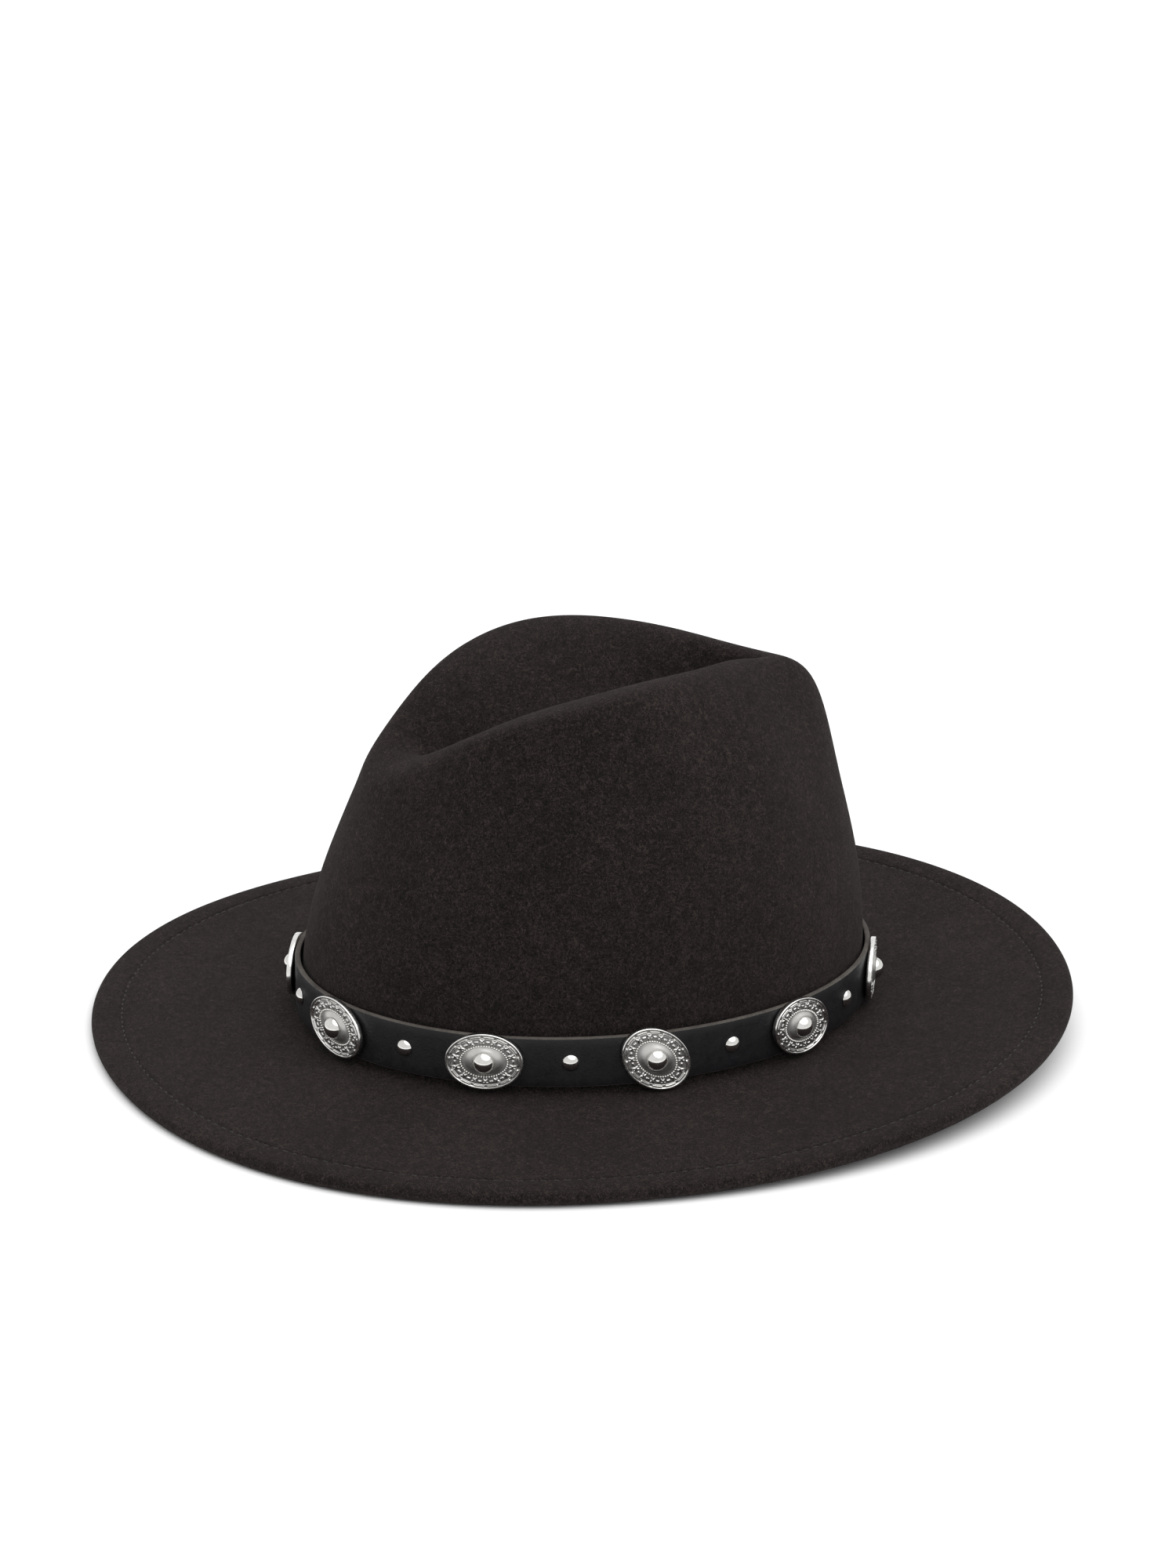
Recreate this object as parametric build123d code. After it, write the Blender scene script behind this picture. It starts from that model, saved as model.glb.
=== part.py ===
from build123d import *
import math
import os

# Wide-brimmed felt hat with a riveted leather concho band.
# +Z is up, the front of the hat faces -Y, and the wearer's right side is -X.
# The origin is on the surface that the brim rests on, under the middle of the brim.
# All lengths are in mm and all angles in degrees.

# ---- felt ----
FELT = 2.4                    # thickness of the felt
BASE_HALF_WIDTH = 83.0        # outside of the crown where it meets the brim
BASE_HALF_LENGTH = 105.0
BASE_HEIGHT = 7.0             # top of the felt at the crown's foot, above the floor
BRIM_AT_SIDES = 79.0
BRIM_AT_ENDS = 78.2
BRIM_AT_FRONT_CORNERS = 3.0   # how much wider the brim is on the diagonals
BRIM_AT_BACK_CORNERS = 5.0
HEM_THICKNESS = 5.0           # the edge is turned under, so it is two felts thick
FRONT_RISE = 12.5             # how far the front of the brim turns up
RISE_START = 0.08             # cosine of the angle from the front where that begins
RISE_SOFTNESS = 0.2           # how gradually it begins, as a cosine too
LIP_DROP = 18.5               # how far the rim of the dent dips at the back
LIP_SPREAD = 42.0
PINCH_ANGLE = 37.0            # the two finger dents each side of the front
PINCH_SPREAD = 15.0

# ---- places along the felt's curve, counted in control rings from the dent ----
DENT_END = 0.12
HEM_FOLD = 13.12              # raw edge of the turned-under hem
STITCH_LINE = 13.30           # 12.5 in from the brim's edge
SWEATBAND_BOTTOM = 8.55
SWEATBAND_TOP = 6.70
SWEATBAND_SEAM = 8.25         # thread that holds the sweatband

# ---- thread and sweatband ----
GROOVE_HALF_PLACE = 0.045     # half width of the sewn groove, along the curve
GROOVE_DEPTH = 0.5
THREAD = 0.45
SWEATBAND_THICKNESS = 0.9
SWEATBAND_GAP = 0.2           # between the felt and the sweatband
LAY = 0.02                    # clearance between pieces that lie on each other

# ---- leather strap ----
STRAP_HALF_WIDTH = 84.4       # inside of the strap
STRAP_HALF_LENGTH = 106.4
STRAP_HEIGHT = 19.0
STRAP_THICKNESS = 2.0
STRAP_BOTTOM = BASE_HEIGHT + 3.8
OVERLAP = 32.0                # length of strap that lies double at the join
OVERLAP_RAMP = 22.0
LAYER_GAP = 0.15
JOIN_CONCHO = 4               # this concho's rivet goes through both ends

# ---- metal fittings ----
FITTINGS = 10                 # conchos, with one dome stud between each two
RECESS_RADIUS = 3.1
RECESS_DEPTH = 0.8
BURR_RADIUS = 2.9
BURR_THICKNESS = 0.65
SHANK_CLEARANCE = 0.05
CONCHO_HALF_LENGTH = 14.25
CONCHO_HALF_HEIGHT = 10.75
CONCHO_THICKNESS = 1.9
CONCHO_STANDOFF = 0.25
CONCHO_EDGE_ROUND = 0.35
BOSS_RADIUS = 4.6
BOSS_RISE = 0.6
BEAD_RING = 0.60              # the beaded oval, as a share of the concho's size
BEAD_RING_WIDTH = 0.9
BEAD_RISE = 0.5
RIVET_SHANK = 1.5
RIVET_SEAT_GAP = 0.1
RIVET_DOME_RADIUS = 4.05
RIVET_DOME_HEIGHT = 3.0
STUD_SHANK = 1.0
STUD_RADIUS = 3.2
STUD_HEIGHT = 1.9
STUD_SEAT = 0.12              # the flat of a stud above the curved leather
# How far each concho has swivelled on its rivet, seen from outside, clockwise.
CONCHO_TURNS = [3, -6, 5, 26, 4, 10, -5, 40, 17, -8]

LOOP_POINTS = 60


def ring(height, half_width, half_length, shift=0, narrow=0, taper=0,
         tilt=0, crown_drop=0, pinch=0, lip=0):
    """One control ring of the crown, measured above the crown's foot.

    narrow makes the front narrower than the back, taper pulls both ends in,
    tilt raises the front, crown_drop lowers both ends, pinch is the depth of
    the finger dents and lip is this ring's share of the drop at the back.
    """
    return dict(height=height, half_width=half_width, half_length=half_length,
                shift=shift, narrow=narrow, taper=taper, tilt=tilt,
                crown_drop=crown_drop, pinch=pinch, lip=lip)


CROWN_RINGS = [
    ring(115, 0, 46, tilt=6, crown_drop=4, lip=0.3),                       # dent line
    ring(119, 9, 52, narrow=2, taper=4, tilt=6, crown_drop=6, lip=0.3),    # dent floor
    ring(132, 24, 62, narrow=8, taper=10, tilt=5, crown_drop=14, lip=0.7),  # inner slope
    ring(139.5, 48, 64.5, shift=-1.5, narrow=22, taper=20.5, tilt=3,
         crown_drop=11.5, pinch=2.4, lip=1.0),                             # crest
    ring(126.5, 51, 86, shift=2, narrow=10.5, taper=18, tilt=8,
         crown_drop=7, pinch=4.8, lip=0.7),                                # shoulder
    ring(91, 69.5, 89, shift=5.5, narrow=1, taper=4, tilt=1, pinch=3),     # upper wall
    ring(55, 79.5, 102, shift=2, taper=2, pinch=1),                        # lower wall
    ring(23, 82.5, 106.5),                                                 # band seat
    ring(8, 83, 105.3),                                                    # above the foot
    ring(0, BASE_HALF_WIDTH, BASE_HALF_LENGTH),                            # foot
]


def crown_ring_point(item, angle):
    c = math.cos(angle)
    s = math.sin(angle)
    from_pinch = abs(math.degrees(angle)) - PINCH_ANGLE
    pinch = item["pinch"] * math.exp(-(from_pinch / PINCH_SPREAD) ** 2)
    from_back = 180 - abs(math.degrees(angle))
    lip = item["lip"] * LIP_DROP * math.exp(-(from_back / LIP_SPREAD) ** 2)
    width = item["half_width"] - item["narrow"] * c - item["taper"] * c * c - pinch
    x = width * s
    y = -item["shift"] - item["half_length"] * c
    z = BASE_HEIGHT + item["height"] + item["tilt"] * c - item["crown_drop"] * c * c - lip
    return Vector(x, y, z)


def soft_step(value):
    """Nothing below zero and the value itself above, with a rounded corner between."""
    return (value + math.hypot(value, RISE_SOFTNESS)) / 2


def brim_edge_height(angle):
    rise = soft_step(math.cos(angle) - RISE_START) / soft_step(1 - RISE_START)
    return HEM_THICKNESS + FRONT_RISE * rise


def brim_ring_point(share, angle):
    """A point on the brim's top control surface, from the foot (0) to the edge (1)."""
    c = math.cos(angle)
    s = math.sin(angle)
    corner = BRIM_AT_FRONT_CORNERS if c > 0 else BRIM_AT_BACK_CORNERS
    corner *= math.sin(2 * angle) ** 2
    x = (BASE_HALF_WIDTH + share * (BRIM_AT_SIDES + corner)) * s
    y = -(BASE_HALF_LENGTH + share * (BRIM_AT_ENDS + corner)) * c
    z = BASE_HEIGHT + share ** 1.5 * (brim_edge_height(angle) - BASE_HEIGHT)
    return Vector(x, y, z)


BRIM_SHARES = [0.10, 0.30, 0.55, 0.80, 1.0]
FOOT = len(CROWN_RINGS) - 1
EDGE = FOOT + len(BRIM_SHARES)


def control_point(index, angle):
    if index <= FOOT:
        return crown_ring_point(CROWN_RINGS[max(index, 0)], angle)
    return brim_ring_point(BRIM_SHARES[min(index, EDGE) - FOOT - 1], angle)


def felt_point(place, angle):
    """The felt's outside: a smooth cubic blend of the control rings.

    place counts control rings, from 0 on the dent line to EDGE at the brim's edge.
    """
    start = min(int(place), EDGE - 1)
    f = place - start
    weights = [(1 - f) ** 3, 3 * f ** 3 - 6 * f ** 2 + 4,
               -3 * f ** 3 + 3 * f ** 2 + 3 * f + 1, f ** 3]
    total = Vector(0, 0, 0)
    for k, weight in enumerate(weights):
        total += control_point(start - 1 + k, angle) * (weight / 6)
    return total


def felt_normal(place, angle):
    step = 0.01
    along = felt_point(min(place + step, EDGE), angle) - felt_point(place - step, angle)
    around = felt_point(place, angle + step) - felt_point(place, angle - step)
    return around.cross(along).normalized() * -1


def loop_angles():
    return [2 * math.pi * k / LOOP_POINTS - math.pi for k in range(LOOP_POINTS)]


def felt_loop(place, depth=0.0):
    """A closed loop round the hat, this far under the felt's outside."""
    return [felt_point(place, a) - felt_normal(place, a) * depth for a in loop_angles()]


# ---- solids from loops ----

def closed_edge(points):
    return Edge.make_spline(points, periodic=True)


def walls(edges):
    return [Face.make_surface_from_curves(a, b) for a, b in zip(edges, edges[1:])]


def capped_solid(loops):
    """A closed solid that runs through the loops, with a flat face on each end."""
    edges = [closed_edge(loop) for loop in loops]
    ends = [Face(Wire([edges[0]])), Face(Wire([edges[-1]]))]
    return Solid(Shell(walls(edges) + ends))


def ring_solid(loops):
    """A closed ring whose section has one corner on each loop."""
    edges = [closed_edge(loop) for loop in loops]
    return Solid(Shell(walls(edges + edges[:1])))


def steps(first, last, count):
    return [first + (last - first) * k / (count - 1) for k in range(count)]


# ---- felt ----

def edge_fold_loop(turn):
    """A loop on the round fold of the brim's edge, from the top (0) to below (180)."""
    radius = HEM_THICKNESS / 2
    points = []
    for angle in loop_angles():
        top = felt_point(EDGE, angle)
        up = felt_normal(EDGE, angle)
        inward = felt_point(EDGE - 0.2, angle) - top
        out = (inward - up * inward.dot(up)).normalized() * -1
        swing = math.radians(turn)
        points.append(top - up * radius * (1 - math.cos(swing)) + out * radius * math.sin(swing))
    return points


def flat_dent_loop(depth):
    """The narrow flat loop that ends the felt's surface on the dent line."""
    loop = felt_loop(DENT_END, depth)
    ends = [p for p in loop if abs(p.X) < 0.01]
    front = min(ends, key=lambda p: p.Y)
    back = max(ends, key=lambda p: p.Y)
    slope = (back.Z - front.Z) / (back.Y - front.Y)
    return [Vector(p.X, p.Y, front.Z + slope * (p.Y - front.Y)) for p in loop]


def groove_loops(surface, floor):
    """The sewn groove, from its inner lip to its outer lip, at depths in the felt."""
    lip = GROOVE_HALF_PLACE
    floor_edge = lip * 0.6
    corners = [(-lip, surface), (-floor_edge, floor), (floor_edge, floor), (lip, surface)]
    return [felt_loop(STITCH_LINE + along, depth) for along, depth in corners]


def felt_body():
    outside = [flat_dent_loop(0)]
    outside += [felt_loop(place) for place in steps(0.5, FOOT - 0.5, 25)]
    outside += [felt_loop(place) for place in steps(FOOT - 0.25, FOOT + 1, 6)]
    outside += [felt_loop(place) for place in steps(FOOT + 1.5, STITCH_LINE - 0.1, 5)]
    outside += groove_loops(0, GROOVE_DEPTH)
    outside += [felt_loop(EDGE - 0.35)]
    edge = [edge_fold_loop(turn) for turn in steps(0, 180, 7)]
    inside = groove_loops(HEM_THICKNESS, HEM_THICKNESS - GROOVE_DEPTH)[::-1]
    inside += [felt_loop(HEM_FOLD, HEM_THICKNESS), felt_loop(HEM_FOLD - 0.02, FELT)]
    inside += [felt_loop(place, FELT) for place in steps(HEM_FOLD - 0.4, FOOT + 1, 5)]
    inside += [felt_loop(place, FELT) for place in steps(FOOT + 0.75, FOOT - 0.5, 6)]
    inside += [felt_loop(place, FELT) for place in steps(FOOT - 0.8, 0.5, 24)]
    inside += [flat_dent_loop(FELT)]
    return capped_solid(outside + edge + inside)


def thread_ring(place, depth):
    """A thread laid round the hat, with its outer side this deep in the felt's curve."""
    near = felt_point(place - 0.05, math.pi / 2)
    far = felt_point(place + 0.05, math.pi / 2)
    half = THREAD / 2 * 0.1 / (far - near).length
    corners = [(-half, depth), (half, depth), (half, depth + THREAD), (-half, depth + THREAD)]
    return ring_solid([felt_loop(place + along, down) for along, down in corners])


def hem_needle_thread():
    return thread_ring(STITCH_LINE, GROOVE_DEPTH - THREAD - LAY)


def hem_bobbin_thread():
    return thread_ring(STITCH_LINE, HEM_THICKNESS - GROOVE_DEPTH + LAY)


def sweatband():
    near = FELT + SWEATBAND_GAP
    far = near + SWEATBAND_THICKNESS
    heights = steps(SWEATBAND_BOTTOM, SWEATBAND_TOP, 6)
    outer = [felt_loop(place, near) for place in heights]
    inner = [felt_loop(place, far) for place in reversed(heights)]
    return ring_solid(outer + inner)


def sweatband_thread():
    return thread_ring(SWEATBAND_SEAM, FELT + SWEATBAND_GAP + SWEATBAND_THICKNESS + LAY)


# ---- leather strap ----

def strap_oval(turn, offset):
    """A point this far outside the strap's inner oval; turn is in degrees from the front."""
    angle = math.radians(turn)
    on_oval = Vector(STRAP_HALF_WIDTH * math.sin(angle), -STRAP_HALF_LENGTH * math.cos(angle), 0)
    out = Vector(math.sin(angle) / STRAP_HALF_WIDTH, -math.cos(angle) / STRAP_HALF_LENGTH, 0)
    return on_oval + out.normalized() * offset


def distances_round():
    """Distance round the middle of the strap at each whole degree from the front."""
    distances = [0.0]
    for turn in range(360):
        chord = strap_oval(turn + 1, STRAP_THICKNESS / 2) - strap_oval(turn, STRAP_THICKNESS / 2)
        distances.append(distances[-1] + chord.length)
    return distances


DISTANCES = distances_round()
GIRTH = DISTANCES[-1]
PITCH = GIRTH / FITTINGS
JOIN_START = (JOIN_CONCHO - 0.5) * PITCH - OVERLAP / 2
JOIN_LIFT = STRAP_THICKNESS + LAYER_GAP


def turn_at(distance):
    """Degrees from the front at a distance round the strap."""
    rest = distance % GIRTH
    low = max(turn for turn in range(360) if DISTANCES[turn] <= rest)
    return low + (rest - DISTANCES[low]) / (DISTANCES[low + 1] - DISTANCES[low])


def strap_lift(distance):
    """How far the strap has climbed to pass over its other end."""
    share = (distance - (JOIN_START + GIRTH - OVERLAP_RAMP)) / OVERLAP_RAMP
    share = min(1.0, max(0.0, share))
    return JOIN_LIFT * share * share * (3 - 2 * share)


def strap_point(distance, depth):
    """A point on the strap at floor level; depth runs from 0 inside to its thickness."""
    return strap_oval(turn_at(distance), depth + strap_lift(distance))


def strap_side(depth):
    count = 200
    length = GIRTH + OVERLAP
    return [strap_point(JOIN_START + length * k / count, depth) for k in range(count + 1)]


def fitting_plane(distance):
    """Local frame on the strap's outside: x to the viewer's right, y up, z outward."""
    if distance < JOIN_START + OVERLAP:
        distance += GIRTH
    here = strap_point(distance, STRAP_THICKNESS)
    ahead = strap_point(distance + 0.5, STRAP_THICKNESS) - strap_point(distance - 0.5, STRAP_THICKNESS)
    middle = Vector(0, 0, STRAP_BOTTOM + STRAP_HEIGHT / 2)
    return Plane(here + middle, x_dir=ahead, z_dir=ahead.cross(Vector(0, 0, 1)))


def strap_depth_at(distance):
    """Thickness of leather that a shank goes through, both layers at the join."""
    doubled = JOIN_START < distance < JOIN_START + OVERLAP
    return STRAP_THICKNESS + (JOIN_LIFT if doubled else 0)


def concho_distance(number):
    """The conchos are evenly spaced, half a pitch each side of the front."""
    return (number - 0.5) * PITCH


def stud_distance(number):
    return (number - 1) * PITCH


def disc(radius, low, high):
    """A round disc on the local Z axis, between two heights."""
    return Pos(0, 0, low) * extrude(Circle(radius), high - low)


def rivet_hole(distance, shank):
    """The hole for a shank, with the recess that its burr sits in."""
    through = strap_depth_at(distance)
    bore = disc(shank + SHANK_CLEARANCE, -through - 1, 1)
    recess = disc(RECESS_RADIUS, -through - 1, RECESS_DEPTH - through)
    return fitting_plane(distance).location * (bore + recess)


def band_strap():
    inner = Edge.make_spline(strap_side(0))
    outer = Edge.make_spline(strap_side(STRAP_THICKNESS))
    ends = [Edge.make_line(inner @ 0, outer @ 0), Edge.make_line(inner @ 1, outer @ 1)]
    outline = Face(Wire([inner, ends[1], outer, ends[0]]))
    strap = Pos(0, 0, STRAP_BOTTOM) * extrude(outline, STRAP_HEIGHT, dir=(0, 0, 1))
    for number in range(1, FITTINGS + 1):
        strap -= rivet_hole(concho_distance(number), RIVET_SHANK)
        strap -= rivet_hole(stud_distance(number), STUD_SHANK)
    return strap


# ---- metal fittings, each made on the local Z axis with the leather's outside at zero ----

def dome(radius, height, seat):
    """A solid cap of a sphere that stands on its seat height."""
    ball = (radius ** 2 + height ** 2) / (2 * height)
    cap = Pos(0, 0, seat + height - ball) * Sphere(ball)
    return cap & disc(radius + 1, seat, seat + height + 1)


def oval(share, low, high):
    """A flat oval the shape of a concho, scaled by a share of its size."""
    outline = Ellipse(CONCHO_HALF_LENGTH * share, CONCHO_HALF_HEIGHT * share)
    return Pos(0, 0, low) * extrude(outline, high - low)


def concho_plate():
    back = CONCHO_STANDOFF
    top = back + CONCHO_THICKNESS
    plate = oval(1, back, top)
    plate = fillet(plate.edges().group_by(Axis.Z)[-1], CONCHO_EDGE_ROUND)
    bead_outer = oval(BEAD_RING, top, top + BEAD_RISE)
    bead_inner = oval(BEAD_RING - BEAD_RING_WIDTH / CONCHO_HALF_HEIGHT, top, top + BEAD_RISE)
    boss = disc(BOSS_RADIUS, top, top + BOSS_RISE)
    plate = plate + (bead_outer - bead_inner) + boss
    return plate - disc(RIVET_SHANK + SHANK_CLEARANCE, back - 1, top + BOSS_RISE + 1)


def concho(number):
    swivel = Rot(0, 0, -CONCHO_TURNS[number - 1])
    return fitting_plane(concho_distance(number)).location * swivel * concho_plate()


def concho_rivet(number):
    distance = concho_distance(number)
    seat = CONCHO_STANDOFF + CONCHO_THICKNESS + BOSS_RISE + RIVET_SEAT_GAP
    shank = disc(RIVET_SHANK, LAY - strap_depth_at(distance), seat)
    rivet = shank + dome(RIVET_DOME_RADIUS, RIVET_DOME_HEIGHT, seat)
    return fitting_plane(distance).location * rivet


def dome_stud(number):
    distance = stud_distance(number)
    shank = disc(STUD_SHANK, LAY - strap_depth_at(distance), STUD_SEAT)
    stud = shank + dome(STUD_RADIUS, STUD_HEIGHT, STUD_SEAT)
    return fitting_plane(distance).location * stud


def burr(distance, shank):
    """The washer that a shank is clinched over, inside the strap."""
    floor = LAY - strap_depth_at(distance)
    washer = disc(BURR_RADIUS, floor, floor + BURR_THICKNESS)
    washer -= disc(shank + LAY, floor - 1, floor + BURR_THICKNESS + 1)
    return fitting_plane(distance).location * washer


def burrs(place_of, shank):
    return Compound([burr(place_of(number), shank) for number in range(1, FITTINGS + 1)])


def all_parts():
    parts = {
        "felt_body": felt_body(),
        "hem_needle_thread": hem_needle_thread(),
        "hem_bobbin_thread": hem_bobbin_thread(),
        "sweatband": sweatband(),
        "sweatband_thread": sweatband_thread(),
        "band_strap": band_strap(),
        "concho_burrs": burrs(concho_distance, RIVET_SHANK),
        "stud_burrs": burrs(stud_distance, STUD_SHANK),
    }
    for number in range(1, FITTINGS + 1):
        parts["concho_%02d" % number] = concho(number)
        parts["concho_rivet_%02d" % number] = concho_rivet(number)
        parts["dome_stud_%02d" % number] = dome_stud(number)
    return parts


def main():
    os.makedirs("parts", exist_ok=True)
    for name, shape in all_parts().items():
        export_step(shape, "parts/%s.step" % name)


if __name__ == "__main__":
    main()
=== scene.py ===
import math
import random

import bmesh
import bpy
import numpy as np
from mathutils import Matrix, Vector


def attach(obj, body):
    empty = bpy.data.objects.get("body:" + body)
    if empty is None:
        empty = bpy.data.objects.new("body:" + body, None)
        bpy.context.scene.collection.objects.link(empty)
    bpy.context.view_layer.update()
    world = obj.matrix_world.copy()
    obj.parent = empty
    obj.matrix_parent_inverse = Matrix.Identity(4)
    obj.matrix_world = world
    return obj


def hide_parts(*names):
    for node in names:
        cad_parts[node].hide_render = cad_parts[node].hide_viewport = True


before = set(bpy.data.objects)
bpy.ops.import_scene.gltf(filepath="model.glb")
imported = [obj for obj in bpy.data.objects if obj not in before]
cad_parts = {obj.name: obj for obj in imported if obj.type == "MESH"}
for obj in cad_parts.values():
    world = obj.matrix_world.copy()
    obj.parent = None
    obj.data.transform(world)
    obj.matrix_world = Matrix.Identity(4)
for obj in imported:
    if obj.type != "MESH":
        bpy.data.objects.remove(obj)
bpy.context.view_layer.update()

# A wide-brimmed felt hat with a leather concho band.
# Shapes are worked out in mm, as the CAD part does, and scaled to metres once.
# The hat's front faces -Y and the wearer's right side is -X.

MM = 0.001

# ---- felt, the CAD part's driving dimensions ----
FELT = 2.4
BASE_HALF_WIDTH = 83.0
BASE_HALF_LENGTH = 105.0
BASE_HEIGHT = 7.0
BRIM_AT_SIDES = 79.0
BRIM_AT_ENDS = 78.2
BRIM_AT_FRONT_CORNERS = 3.0
BRIM_AT_BACK_CORNERS = 5.0
HEM_THICKNESS = 5.0
FRONT_RISE = 12.5
RISE_START = 0.08
RISE_SOFTNESS = 0.2
LIP_DROP = 18.5
LIP_SPREAD = 42.0
PINCH_ANGLE = 37.0
PINCH_SPREAD = 15.0
HEM_FOLD = 13.12        # places along the felt's curve are counted in control rings
STITCH_LINE = 13.30

# ---- hem seam and sweatband ----
GROOVE_DEPTH = 0.45
GROOVE_REACH = 0.035
HEM_PUFF = 0.35
STITCH_PITCH = 4.1
STITCH_LENGTH = 2.9
STITCH_RADIUS = 0.30
STITCH_DEPTH = 0.62     # under the felt's outside; the middle of a stitch rises 0.12 from it
STITCH_POINTS = 9
STITCH_SIDES = 8
BACK_TACK_ANGLE = 120.0
BACK_TACK_STEP = 1.15
BACK_TACK_STITCHES = 9
SWEATBAND_THICKNESS = 0.9
SWEATBAND_GAP = 0.2
SWEATBAND_BOTTOM = 8.55
SWEATBAND_TOP = 6.70
SWEATBAND_SEAM = 8.25

# ---- band, the CAD part's driving dimensions and the strap's finish ----
STRAP_HALF_WIDTH = 84.4
STRAP_HALF_LENGTH = 106.4
STRAP_HEIGHT = 19.0
STRAP_THICKNESS = 2.0
STRAP_BOTTOM = BASE_HEIGHT + 3.8
OVERLAP = 32.0
OVERLAP_RAMP = 22.0
EDGE_ROUND = 0.55
LOOSENESS = 0.18        # scale of how the strap stands off its oval, most at the upper edge
EDGE_WAVE = 0.12
STRAP_STATIONS = 430
LAYER_GAP = 0.15
JOIN_CONCHO = 4
FITTINGS = 10
CONCHO_HALF_LENGTH = 14.25
CONCHO_HALF_HEIGHT = 10.75
CONCHO_THICKNESS = 1.9
CONCHO_STANDOFF = 0.25
CONCHO_TURNS = [3, -6, 5, 26, 4, 10, -5, 40, 17, -8]
BOSS_RISE = 0.6
RIVET_SEAT_GAP = 0.1
RIVET_DOME_RADIUS = 4.05
RIVET_DOME_HEIGHT = 3.0
STUD_RADIUS = 3.2
STUD_HEIGHT = 1.9
STUD_SEAT = 0.12
RIVET_SHANK = 1.5
STUD_SHANK = 1.0

# ---- concho relief ----
AROUND = 360            # points round the plate
MOTIFS = 14
BEADS = 50
BEAD_RADIUS = 0.38
BEAD_HALF_LENGTH = 8.62
BEAD_HALF_HEIGHT = 5.95
BEAD_SIDES = 10
BOSS_RADIUS = 4.05
HOLE_SHARE = 0.109      # shares are of the plate's outline, from its centre
BOSS_SHARE = 0.284
DISH_SHARE = 0.56
BEAD_SHARE = 0.605

# ---- camera, light and floor ----
CAMERA_AZIMUTH = -107.33
CAMERA_HEIGHT_ANGLE = 23.72
CAMERA_DISTANCE = 1.8125
CAMERA_TILT = 0.0478
CAMERA_PAN = 0.0003
CAMERA_ROLL = 0.81
FOCAL_OVER_DISTANCE = 3.4067      # focal length in 2000ths of the picture's height, per mm
LIGHT_FROM = (-0.25, -0.20, 0.93)
LIGHT_WIDTH = 80
LIGHT_STRENGTH = 1.8
SKY_STRENGTH = 0.85
FLOOR_HALF_WIDTH = 9.0
FLOOR_LEVEL = 0.0001


# ---------------------------------------------------------------- felt surface

def ring(height, half_width, half_length, shift=0, narrow=0, taper=0,
         tilt=0, crown_drop=0, pinch=0, lip=0):
    """One control ring of the crown, measured above the crown's foot."""
    return dict(height=height, half_width=half_width, half_length=half_length,
                shift=shift, narrow=narrow, taper=taper, tilt=tilt,
                crown_drop=crown_drop, pinch=pinch, lip=lip)


CROWN_RINGS = [
    ring(115, 0, 46, tilt=6, crown_drop=4, lip=0.3),                       # dent line
    ring(119, 9, 52, narrow=2, taper=4, tilt=6, crown_drop=6, lip=0.3),    # dent floor
    ring(132, 24, 62, narrow=8, taper=10, tilt=5, crown_drop=14, lip=0.7),  # inner slope
    ring(139.5, 48, 64.5, shift=-1.5, narrow=22, taper=20.5, tilt=3,
         crown_drop=11.5, pinch=2.4, lip=1.0),                             # crest
    ring(126.5, 51, 86, shift=2, narrow=10.5, taper=18, tilt=8,
         crown_drop=7, pinch=4.8, lip=0.7),                                # shoulder
    ring(91, 69.5, 89, shift=5.5, narrow=1, taper=4, tilt=1, pinch=3),     # upper wall
    ring(55, 79.5, 102, shift=2, taper=2, pinch=1),                        # lower wall
    ring(23, 82.5, 106.5),                                                 # band seat
    ring(8, 83, 105.3),                                                    # above the foot
    ring(0, BASE_HALF_WIDTH, BASE_HALF_LENGTH),                            # foot
]
BRIM_SHARES = [0.10, 0.30, 0.55, 0.80, 1.0]
FOOT = len(CROWN_RINGS) - 1
EDGE = FOOT + len(BRIM_SHARES)


def crown_ring_points(item, angle):
    """Points of one control ring, at an array of angles from the front."""
    c = np.cos(angle)
    s = np.sin(angle)
    degrees = np.abs(np.degrees(angle))
    pinch = item["pinch"] * np.exp(-((degrees - PINCH_ANGLE) / PINCH_SPREAD) ** 2)
    lip = item["lip"] * LIP_DROP * np.exp(-((180 - degrees) / LIP_SPREAD) ** 2)
    width = item["half_width"] - item["narrow"] * c - item["taper"] * c * c - pinch
    x = width * s
    y = -item["shift"] - item["half_length"] * c
    z = BASE_HEIGHT + item["height"] + item["tilt"] * c - item["crown_drop"] * c * c - lip
    return np.stack([x, y, z], -1)


def soft_step(value):
    """Nothing below zero and the value itself above, with a rounded corner between."""
    return (value + np.hypot(value, RISE_SOFTNESS)) / 2


def brim_ring_points(share, angle):
    """Points of the brim's control ring at a share of its width."""
    c = np.cos(angle)
    s = np.sin(angle)
    corner = np.where(c > 0, BRIM_AT_FRONT_CORNERS, BRIM_AT_BACK_CORNERS) * np.sin(2 * angle) ** 2
    x = (BASE_HALF_WIDTH + share * (BRIM_AT_SIDES + corner)) * s
    y = -(BASE_HALF_LENGTH + share * (BRIM_AT_ENDS + corner)) * c
    rise = soft_step(c - RISE_START) / soft_step(1 - RISE_START)
    edge_height = HEM_THICKNESS + FRONT_RISE * rise
    z = BASE_HEIGHT + share ** 1.5 * (edge_height - BASE_HEIGHT)
    return np.stack([x, y, z], -1)


def control_points(index, angle):
    """Points of any control ring; the one before the first is the dent's other side."""
    if index < 0:
        mirrored = crown_ring_points(CROWN_RINGS[1], angle)
        return mirrored * np.array([-1, 1, 1])
    if index <= FOOT:
        return crown_ring_points(CROWN_RINGS[index], angle)
    return brim_ring_points(BRIM_SHARES[min(index, EDGE) - FOOT - 1], angle)


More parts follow.
